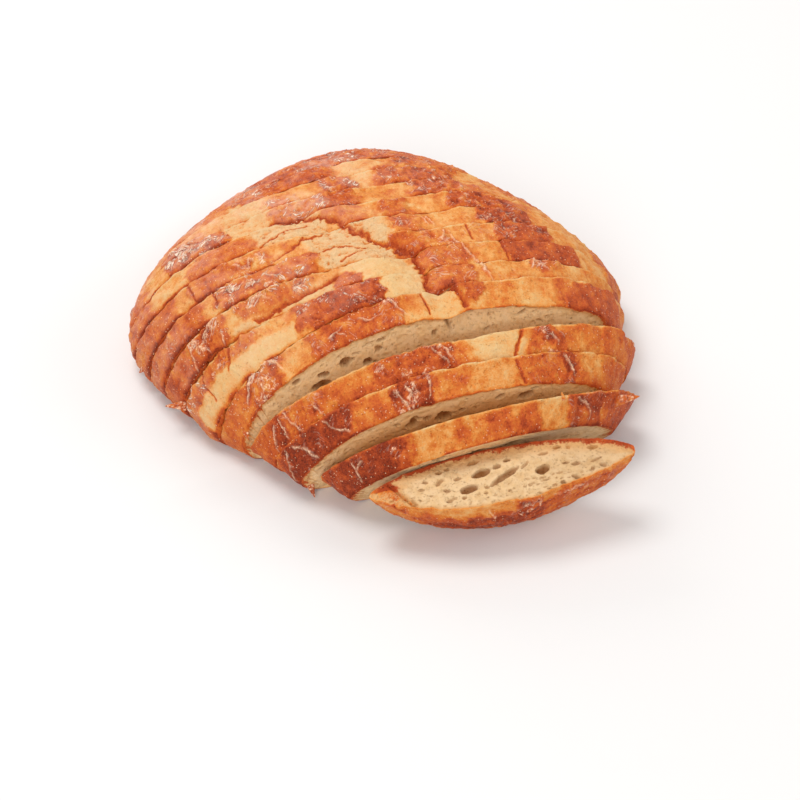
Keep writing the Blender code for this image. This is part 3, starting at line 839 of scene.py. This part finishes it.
def addSlice(number, materials):
    # front face from its base up, crust from front to back, back face down again, as rows of one surface
    k = number - 5
    name = "slice%02d" % number
    rows, angle, look = sliceSurface(k)
    frontRows, backRows = openFaces.get(k, ("hiddenRows", "hiddenRows"))
    front = faceRows(rows[0], angle, grid[frontRows], name + "Front", 1)
    back = faceRows(rows[-1], angle, grid[backRows], name + "Back", -1)
    before, after = grid[frontRows] - 1, grid[backRows] - 1
    values = carried(look, before, after)
    for key, index in (("rim", 1), ("hollow", 2), ("deep", 3)):
        nearer = crumb["closedRimAndGapShade"] if key == "rim" and k > 0 else 1
        inFront, behind = front[index][:-1] * nearer, back[index][-2::-1] * nearer
        values[key] = np.concatenate([inFront, 0 * look["browning"], behind])
    points = slicePlaced(np.concatenate([front[0][:-1], rows, back[0][-2::-1]]), k)
    backKind = 0 if k == 11 else 1
    return addPiece(sliceMesh(name, points, before + 1, after + 1, backKind, values, materials), number)


# the fallen heel
def heelOutline(angle):
    # x is half the length times cos(angle), skewed by z; z is the crown's or the base's bulge times sin to
    # its power
    side = np.sin(angle)
    z = np.where(side > 0, heel["crown"] * abs(side) ** heel["crownPower"],
                 -heel["base"] * abs(side) ** heel["basePower"])
    return heel["length"] / 2 * np.cos(angle) + heel["skew"] * z, z


def heelAngles():
    # evenly spaced along the outline, from the left tip over the crown side and back along the base side,
    # mirrored so that each crown point has a base point with the same cosine
    fine = np.linspace(math.pi, 0, 3000)
    x, z = heelOutline(fine)
    along = np.concatenate([[0], np.cumsum(np.hypot(np.diff(x), np.diff(z)))])
    crownSide = np.interp(np.linspace(0, along[-1], heel["columns"] // 2 + 1), along, fine)
    return np.concatenate([crownSide, -crownSide[-2:0:-1]])


def addHeel(materials):
    # rings down the crust: the outline times (1 - share ^ fall) ^ (1 / round), sunk by the depth times share
    angle = heelAngles()
    x, z = heelOutline(angle)
    share = (np.sin(np.linspace(0, math.pi / 2, heel["rings"])) * heel["reach"])[:, None]
    size = (1 - share ** heel["fall"]) ** (1 / heel["round"])
    rings = np.stack([x * size, 0 * x - heel["depth"] * share, z * size + heel["tip"] * (1 - size)], -1)
    baseSide = smooth(-np.sin(angle), 0.05, 0.5)[None, :] + 0 * share
    stepsDown = np.linalg.norm(np.diff(rings, axis=0), axis=-1)
    depthDown = np.concatenate([[0 * x], np.cumsum(stepsDown, axis=0)]) * 1000
    relief, look = heelPattern(x[None, :] * 1000 * (1 + 0 * share), depthDown, baseSide, rings * 1000)
    tangent, down = np.gradient(rings, axis=1), np.gradient(rings, axis=0)
    normal = np.cross(down, tangent)
    normal /= np.maximum(np.linalg.norm(normal, axis=-1), 1e-12)[..., None]
    normal[:, [0, heel["columns"] // 2]] = np.array([[-1, 0, 0], [1, 0, 0]])
    relief -= 0.35 * bell(depthDown, 0.5)
    rings += normal * relief[..., None] * mm

    # the cut face: from the lens's midline out to the rim, pressed in by the crumb's relief
    rim = rings[0]
    middle = (rim + rim[(-np.arange(len(rim))) % len(rim)]) / 2
    part = np.linspace(0, 1, heel["faceRows"])[:, None]
    face = middle + (rim - middle) * part[..., None]
    tall = np.linalg.norm(rim - middle, axis=-1) * 1000
    fromRim = (1 - part) * tall * 0.93
    depth, hollow = crumbRelief(face[..., 0] * 1000, face[..., 2] * 1000, "slice01Back")
    fade = smooth(fromRim, 0.2, 2.0)
    (x0, z0), (x1, z1) = heel["foldedEnd"]
    beyond = (face[..., 0] * 1000 - x0) * (z1 - z0) - (face[..., 2] * 1000 - z0) * (x1 - x0)
    beyond = beyond / math.hypot(x1 - x0, z1 - z0)
    depth = depth + 1.5 * bell(beyond, 0.9) - 0.9 * smooth(-beyond, 0.2, 2.0)
    # painted shade in the groove along the fold
    hollow = np.maximum(hollow, bell(beyond, 0.8))
    face[..., 1] -= depth * fade * mm
    atBase = smooth(-face[..., 2], 0, 0.003)
    fromRim = np.minimum(fromRim, np.maximum(beyond, 0.75)) * (1 - (1 - heel["baseRim"]) * atBase)
    out = np.linspace(0, 1, heel["capRings"])[:, None]
    cap = rings[-1].mean(0) + (rings[-1] - rings[-1].mean(0)) * out[..., None]
    capHeight = (rings[-1][..., 2] - heel["tip"]) * out + heel["tip"]
    cap = cap * [1, 1, 0] + [0, 0, 1] * capHeight[..., None]

    columns = len(x)
    parts = [face[:-1], rings, cap[-2::-1]]
    points = np.concatenate(parts)
    ids = np.arange(points.shape[0] * columns).reshape(-1, columns)
    mirror = (-np.arange(columns)) % columns
    ids[0] = ids[0][np.minimum(np.arange(columns), mirror)]
    half = columns // 2
    ids[:len(face) - 1, [0, half]] = ids[len(face) - 1, [0, half]]
    ids[-1] = ids[-1, 0]
    quads = rolled(ids)
    kind = np.repeat([1] * (len(face) - 1) + [0] * (len(ids) - len(face)), columns)
    before, after = len(face) - 1, len(cap) - 1
    values = carried(look, before, after)
    dimmed = heel["dimmed"] * (1 + 1.2 * smooth(face[..., 0], 0, 0.05))
    for key, field in (("rim", fromRim), ("hollow", np.maximum(hollow * fade, dimmed))):
        values[key] = np.concatenate([field[:-1], np.zeros((len(points) - before, columns))])
    values["browning"][:before] += heel["toasted"] * atBase[:-1]
    flat = points @ turnAbout(heel["roll"], 2).T @ turnAbout(heel["lean"], 0).T @ turnAbout(heel["turn"], 2).T
    flat += np.array([loaf["footInFrame"][0] + heel["place"][0], loaf["footInFrame"][1] + heel["place"][1],
                      -flat[..., 2].min()])
    return addPiece(meshFrom("slice01", flat, quads, kind, [], values, materials), 1)


# curled points of crust that stand off the slices' ends and edges
flakes = {
    "rows": 14, "columns": 20, "thick": 0.0007, "bend": 0.12, "facing": (-0.2, -0.7, 0.7),
    # slice, root and point in the frame in millimetres, half width, browning
    "shown": [
        (2, (88.5, -97.8, 35.0), (101.5, -100.3, 37.0), 3.2, 0.62),
        (2, (57.6, -107.0, 52.4), (57.0, -104.0, 55.4), 1.3, 0.45),
        (7, (-114.0, -15.3, 15.8), (-124.5, -11.5, 15.0), 2.6, 0.70),
        (5, (-91.5, -49.5, 22.5), (-90.8, -53.0, 18.6), 1.8, 0.66),
        (1, (20.5, -144.0, 23.0), (25.0, -148.2, 18.6), 1.9, 0.85),
        (1, (-33.5, -117.0, 18.4), (-38.6, -118.4, 15.2), 1.6, 0.72),
        (9, (-125.5, 21.5, 15.5), (-130.4, 22.5, 10.5), 2.2, 0.74),
        (3, (-67.0, -79.5, 7.0), (-66.0, -86.0, 1.5), 2.4, 0.78),
    ],
}


def flakeSurface(root, point, wide):
    # an ellipse carried from root to point, narrowing to nothing, bent over by a half sine
    root, point = np.array(root) * mm, np.array(point) * mm
    side = np.cross(point - root, flakes["facing"])
    side /= np.linalg.norm(side)
    normal = np.cross(side, point - root)
    bend = flakes["bend"] * np.linalg.norm(point - root) * normal / np.linalg.norm(normal)
    way = np.linspace(0, 1, flakes["rows"])[:, None, None]
    turn = np.linspace(0, 2 * math.pi, flakes["columns"], endpoint=False)[None, :, None]
    size = (1 - way) ** 0.75
    rows = root + (point - root) * way + bend * np.sin(math.pi * way) + side * wide * mm * size * np.cos(turn)
    rows = rows + normal / np.linalg.norm(normal) * flakes["thick"] * size * np.sin(turn)
    return rows + side * 0.3 * mm * softNoise(rows * 1000, 1.6, 71)[..., None] * size


def addFlakes(materials):
    # a closed tube of quads around each flake's rows, with the last row drawn together into the point
    for index, (number, root, point, wide, browning) in enumerate(flakes["shown"]):
        rows = flakeSurface(root, point, wide)
        ids = np.arange(rows[..., 0].size).reshape(rows.shape[:2])
        ids[-1] = ids[-1, 0]
        quads = rolled(ids)
        tone = browning + 0.25 * softNoise(rows * 1000, 2.0, 72)
        # painted highlight in patches over the flake
        light = smooth(softNoise(rows * 1000, 1.4, 73), 0.1, 0.5)
        values = {"browning": tone, "shine": 0 * tone + 0.5, "light": light, "island": 0 * tone + 1,
                  "creased": 0 * tone + 0.6, "unrolled": rows * 1000}
        name, kind = "crustFlake%02d" % (index + 1), np.zeros(len(quads), int)
        addPiece(meshFrom(name, rows, quads, kind, [ids[0]], values, materials), number)


def turnAbout(degrees, axis):
    # the matrix of a turn about X (axis 0) or Z (axis 2)
    a, b = math.cos(math.radians(degrees)), math.sin(math.radians(degrees))
    return np.array([[1, 0, 0], [0, a, -b], [0, b, a]] if axis == 0 else [[a, -b, 0], [b, a, 0], [0, 0, 1]])


# materials
class Value:
    # a socket of the material being built, so that sums and products of sockets read as plain maths
    def __init__(self, finish, socket):
        self.finish, self.socket = finish, socket

    def maths(self, operation, first, second):
        return self.finish.node("ShaderNodeMath", {"operation": operation}, {0: first, 1: second})

    def __add__(self, other):
        return self.maths("ADD", self, other)

    def __radd__(self, other):
        return self.maths("ADD", other, self)

    def __sub__(self, other):
        return self.maths("SUBTRACT", self, other)

    def __rsub__(self, other):
        return self.maths("SUBTRACT", other, self)

    def __mul__(self, other):
        return self.maths("MULTIPLY", self, other)

    def __rmul__(self, other):
        return self.maths("MULTIPLY", other, self)

    def held(self, low=0.0, high=1.0):
        # clamped between low and high
        return self.finish.node("ShaderNodeClamp", {}, {"Value": self, "Min": low, "Max": high}, "Result")

    def ramp(self, low, high, bottom=0.0, top=1.0):
        # bottom at low and below, top at high and above, a smooth step between
        values = {"Value": self, "From Min": low, "From Max": high, "To Min": bottom, "To Max": top}
        return self.finish.node("ShaderNodeMapRange", {"interpolation_type": "SMOOTHSTEP"}, values, "Result")


class Finish:
    # one material: node() adds any node, and colours and noises have short names of their own
    def __init__(self, name):
        self.material = bpy.data.materials.new(name)
        self.material.use_nodes = True
        self.tree = self.material.node_tree
        self.shader = self.tree.nodes["Principled BSDF"]
        self.place = self.node("ShaderNodeTexCoord", {}, {}, "Object")

    def node(self, kind, settings, values, output=0):
        node = self.tree.nodes.new(kind)
        for key, value in settings.items():
            if key == "stops":
                self.stops(node.color_ramp, value)
            else:
                setattr(node, key, value)
        for key, value in values.items():
            self.feed(node.inputs[key], value)
        return Value(self, node.outputs[output])

    def stops(self, ramp, stops):
        while len(ramp.elements) < len(stops):
            ramp.elements.new(1.0)
        for element, (position, colour) in zip(ramp.elements, stops):
            element.position, element.color = position, (*colour, 1.0)

    def feed(self, socket, value):
        if isinstance(value, Value):
            self.tree.links.new(value.socket, socket)
        elif isinstance(value, tuple) and len(value) == 3 and socket.type == "RGBA":
            socket.default_value = (*value, 1.0)
        else:
            socket.default_value = value

    def attribute(self, name):
        return self.node("ShaderNodeAttribute", {"attribute_name": name}, {}, "Fac")

    def noise(self, scale, detail=2.0, roughness=0.5):
        values = {"Vector": self.place, "Scale": scale, "Detail": detail, "Roughness": roughness}
        return self.node("ShaderNodeTexNoise", {}, values, "Fac")

    def cells(self, scale, feature="F1"):
        values = {"Vector": self.place, "Scale": scale}
        return self.node("ShaderNodeTexVoronoi", {"feature": feature}, values, "Distance")

    def strokes(self, degrees, long, wide, low, high):
        # short parallel strokes of noise over the unrolled crust, sizes in millimetres, for the painted
        # glints
        unrolled = self.node("ShaderNodeAttribute", {"attribute_name": "unrolled"}, {}, "Vector")
        turned = self.node("ShaderNodeMapping", {"vector_type": "TEXTURE"}, {
            "Vector": unrolled, "Rotation": (0.0, 0.0, math.radians(degrees)), "Scale": (long, wide, 1.0)})
        strokes = self.node("ShaderNodeTexNoise", {}, {"Vector": turned, "Scale": 1.0, "Detail": 1.0}, "Fac")
        return strokes.ramp(low, high)

    def colours(self, factor, stops):
        return self.node("ShaderNodeValToRGB", {"stops": stops}, {"Fac": factor}, "Color")

    def mixed(self, factor, first, second):
        return self.node("ShaderNodeMix", {"data_type": "RGBA"}, {0: factor, 6: first, 7: second}, 2)

    def bump(self, height, distance, strength):
        return self.node("ShaderNodeBump", {}, {"Height": height, "Distance": distance, "Strength": strength})

    def finished(self, **sockets):
        self.shader.inputs["Specular IOR Level"].default_value = 0.15
        for key, value in sockets.items():
            self.feed(self.shader.inputs[key.replace("_", " ")], value)
        return self.material


crustLook = {
    # colour by browning, from torn cream to the darkest blisters
    "stops": [(0.00, (0.75, 0.50, 0.23)), (0.15, (0.75, 0.42, 0.155)), (0.28, (0.76, 0.330, 0.088)),
              (0.42, (0.69, 0.228, 0.040)), (0.55, (0.63, 0.152, 0.022)), (0.68, (0.54, 0.097, 0.017)),
              (0.80, (0.42, 0.061, 0.012)), (0.91, (0.29, 0.037, 0.008)), (1.00, (0.15, 0.018, 0.005))],
    "mottling": 0.25,
    # pale specks painted as highlights on tiny blisters
    "speckGlintColour": (0.98, 0.66, 0.42),
    "speckGlintShare": (0.85, 0.25),   # on the brown islands, and what the rest has
    "foldHighlightColour": (1.00, 0.66, 0.42),
    "paintedGlintColour": (1.00, 0.82, 0.66),
    # flour dust and a painted sheen
    "dustSheenColour": (0.93, 0.67, 0.52),
    "tornColour": (0.75, 0.50, 0.27),
}


def makeCrust():
    # the browning, mottled by noise, picks the colour; dust with a painted sheen, torn crumb, painted specks
    # of
    #     # highlight, painted highlights on folds and painted glints lie over it
    finish = Finish("bakedCrust")
    browning, shine = finish.attribute("browning"), finish.attribute("shine")
    light, torn, island = finish.attribute("light"), finish.attribute("torn"), finish.attribute("island")
    dusted = finish.attribute("dusted")
    coarse, fine = finish.noise(300.0, 3.0, 0.6), finish.noise(1300.0, 3.0, 0.65)
    pinholes = finish.cells(750.0).ramp(0.08, 0.26, 1.0, 0.0) * finish.noise(420.0, 2.0).ramp(0.46, 0.56)
    level = browning + (coarse - 0.5) * crustLook["mottling"] * 0.8
    level = level + (fine - 0.5) * crustLook["mottling"] * 2.0 + pinholes * 0.16
    colour = finish.colours(level.held(), crustLook["stops"])
    # flour dust and a painted sheen, pinkish pale over the browning
    colour = finish.mixed((dusted * coarse.ramp(0.30, 0.62, 0.02, 0.13)).held(), colour, crustLook["dustSheenColour"])
    colour = finish.mixed((torn * level.ramp(0.45, 0.15, 0.0, 0.7)).held(), colour, crustLook["tornColour"])
    onIsland, elsewhere = crustLook["speckGlintShare"]
    # painted highlights: pale specks for glints on tiny blisters, most on the brown islands
    blisters = finish.cells(560.0).ramp(0.10, 0.24, 1.0, 0.0)
    speckGlints = blisters * finish.noise(500.0, 2.0).ramp(0.44, 0.56)
    speckGlints = speckGlints * (island * (onIsland - elsewhere) + elsewhere + dusted * 0.2)
    colour = finish.mixed(speckGlints.held(), colour, crustLook["speckGlintColour"])
    # painted highlight on the folds and creases
    foldHighlight = (light * (fine.ramp(0.34, 0.58) * 0.9 + 0.2)).held()
    colour = finish.mixed(foldHighlight, colour, crustLook["foldHighlightColour"])
    # painted glints: short pale strokes standing for highlights on the wrinkles, stronger with the dust and
    # sheen
    way = finish.noise(110.0, 1.0)
    paintedGlints = finish.strokes(38, 4.6, 0.80, 0.52, 0.61) * way.ramp(0.46, 0.51, 1.0, 0.0)
    paintedGlints = paintedGlints + finish.strokes(-42, 4.2, 0.75, 0.52, 0.61) * way.ramp(0.49, 0.54)
    paintedGlints = (paintedGlints * finish.attribute("creased").ramp(0.12, 0.55) * (dusted * 0.8 + 0.2)).held()
    colour = finish.mixed(paintedGlints * 0.85, colour, crustLook["paintedGlintColour"])
    height = fine * 0.6 + coarse * 0.35 + finish.cells(800.0) * torn * 0.6
    height = height + speckGlints * 0.4 + paintedGlints * 0.8 - pinholes * 0.7
    return finish.finished(
        Base_Color=colour,
        Roughness=(0.64 - shine * 0.28 - light * 0.2 + (fine - 0.5) * 0.4).held(0.16, 0.9),
        Normal=finish.bump(height, 0.0009, 0.9),
    )


crumbLook = {
    "pale": (0.88, 0.630, 0.362),
    "warm": (0.83, 0.545, 0.262),
    "shaded": (0.76, 0.38, 0.12),
    # the painted shade's colour in holes and recesses
    "hollow": (0.27, 0.095, 0.020),
    "edge": (0.66, 0.31, 0.090),
    "rimWidth": 1.0,      # millimetres of browned edge
    "denseWidth": 3.2,    # millimetres of darker, closer crumb inside it
}


def makeCrumb():
    # pale to warm by noise, a painted shade deeper in on the faces and in the pores and holes, then a closer
    #     # edge and the baked rim
    finish = Finish("openCrumb")
    browning, rim, hollow = finish.attribute("browning"), finish.attribute("rim"), finish.attribute("hollow")
    deep = finish.attribute("deep")
    coarse, fine = finish.noise(170.0, 4.0, 0.62), finish.noise(1100.0, 3.0, 0.6)
    bubbles = finish.cells(330.0, feature="SMOOTH_F1").ramp(0.15, 0.62, 1.0, 0.0) * coarse.ramp(0.36, 0.58)
    pores = finish.cells(800.0).ramp(0.12, 0.34, 1.0, 0.0) * fine.ramp(0.42, 0.60)
    warmth = (coarse.ramp(0.35, 0.70) * 0.7 + fine.ramp(0.35, 0.65) * 0.3).held()
    colour = finish.mixed(warmth, crumbLook["pale"], crumbLook["warm"])
    # painted shade, warm, deeper in on the cut faces
    colour = finish.mixed((deep * 0.70).held(), colour, crumbLook["shaded"])
    colour = finish.mixed((pores * 0.18 + bubbles * 0.12 + hollow * 0.85).held(), colour, crumbLook["hollow"])
    wander = rim + (fine - 0.5) * 1.4 + (coarse - 0.5) * 2.6
    dense = wander.ramp(crumbLook["rimWidth"], crumbLook["denseWidth"], 0.6, 0.0)
    colour = finish.mixed(dense, colour, crumbLook["edge"])
    baked = finish.colours((browning * 0.62 + 0.15 + pores * 0.3).held(), crustLook["stops"])
    atRim = wander.ramp(crumbLook["rimWidth"] * 0.4, crumbLook["rimWidth"], 1.0, 0.0)
    colour = finish.mixed(atRim, colour, baked)
    height = fine * 0.6 - pores * 0.7 - bubbles * 0.8 + coarse * 0.6
    return finish.finished(
        Base_Color=colour,
        Roughness=0.75 - hollow * 0.2,
        Normal=finish.bump(height, 0.0008, 0.9),
    )


def makeUnderside():
    # baked brown, mottled by noise, with flour in patches
    finish = Finish("bakedUnderside")
    coarse, fine = finish.noise(60.0, 4.0, 0.6), finish.noise(600.0, 3.0, 0.6)
    colour = finish.colours((coarse * 0.35 + 0.48 + (fine - 0.5) * 0.2).held(), crustLook["stops"])
    flour = finish.noise(35.0, 5.0, 0.7).ramp(0.52, 0.68) * fine.ramp(0.35, 0.65)
    colour = finish.mixed(flour * 0.5, colour, (0.82, 0.72, 0.58))
    return finish.finished(
        Base_Color=colour,
        Roughness=0.7 + flour * 0.15,
        Normal=finish.bump(fine + coarse, 0.0005, 0.6),
    )


materials = [makeCrust(), makeCrumb(), makeUnderside()]
print("materials made")
slices = [addHeel(materials)] + [addSlice(number, materials) for number in range(2, 17)]
print("slices made:", sum(len(piece.data.polygons) for piece in slices), "faces")
addFlakes(materials[:1])
print("flakes made:", len(flakes["shown"]))

# floor, light and camera
studio = {
    "floorColour": (0.80, 0.785, 0.775),
    "floorTint": (0.79, 0.755, 0.74),
    "camera": (-0.2129, -0.9325, 0.9126),    # from the standing cut face's left foot
    "aim": (0.0882, 0.0190, 0.0),
    "lens": 115.92,
    "air": 0.46,
    # name: place, size, power in watts, aimed at
    "lamps": {
        "overhead": ((-0.30, 0.35, 1.50), 0.8, 11.4, (0, 0, 0.02)),
        "front": ((-0.75, -1.35, 0.95), 0.9, 13.0, (0, 0, 0.03)),
        "rightSide": ((1.20, -0.30, 0.80), 0.8, 5.0, (0, 0, 0.03)),
        "behind": ((-0.30, 1.50, 0.60), 1.2, 11.0, (0, 0, 0.05)),
    },
}


def addFloor():
    # a flat square, faintly mottled
    mesh = bpy.data.meshes.new("floor")
    half = 6.0
    corners = [(-half, -half, 0), (half, -half, 0), (half, half, 0), (-half, half, 0)]
    mesh.from_pydata(corners, [], [(0, 1, 2, 3)])
    finish = Finish("paleFloor")
    tone = finish.noise(3.0, 2.0)
    colour = finish.mixed(tone * 0.15, studio["floorColour"], studio["floorTint"])
    mesh.materials.append(finish.finished(Base_Color=colour, Roughness=0.75))
    floor = bpy.data.objects.new("floor", mesh)
    bpy.context.scene.collection.objects.link(floor)


def aimed(thing, place, target):
    # puts a lamp or the camera at a place, looking along its own -Z at the target
    thing.location = place
    thing.rotation_euler = (Vector(target) - Vector(place)).to_track_quat("-Z", "Y").to_euler()
    bpy.context.scene.collection.objects.link(thing)


def addLights():
    # four soft round lamps, and an even white from all around
    for name, (place, size, power, target) in studio["lamps"].items():
        lamp = bpy.data.lights.new(name, "AREA")
        lamp.shape, lamp.size, lamp.energy = "DISK", size, power
        aimed(bpy.data.objects.new(name, lamp), place, target)
    world = bpy.data.worlds.new("softAir")
    world.use_nodes = True
    world.node_tree.nodes["Background"].inputs["Color"].default_value = (1.0, 0.99, 0.98, 1.0)
    world.node_tree.nodes["Background"].inputs["Strength"].default_value = studio["air"]
    bpy.context.scene.world = world
    bpy.context.scene.view_settings.view_transform = "Standard"


def addCamera():
    # place and aim are counted from the standing cut face's left foot
    lens = bpy.data.cameras.new("camera")
    lens.lens, lens.sensor_width = studio["lens"], 36.0
    foot = Vector((*loaf["footInFrame"], 0.0))
    camera = bpy.data.objects.new("camera", lens)
    aimed(camera, foot + Vector(studio["camera"]), foot + Vector(studio["aim"]))
    bpy.context.scene.camera = camera


addFloor()
addLights()
addCamera()
print("studio ready")
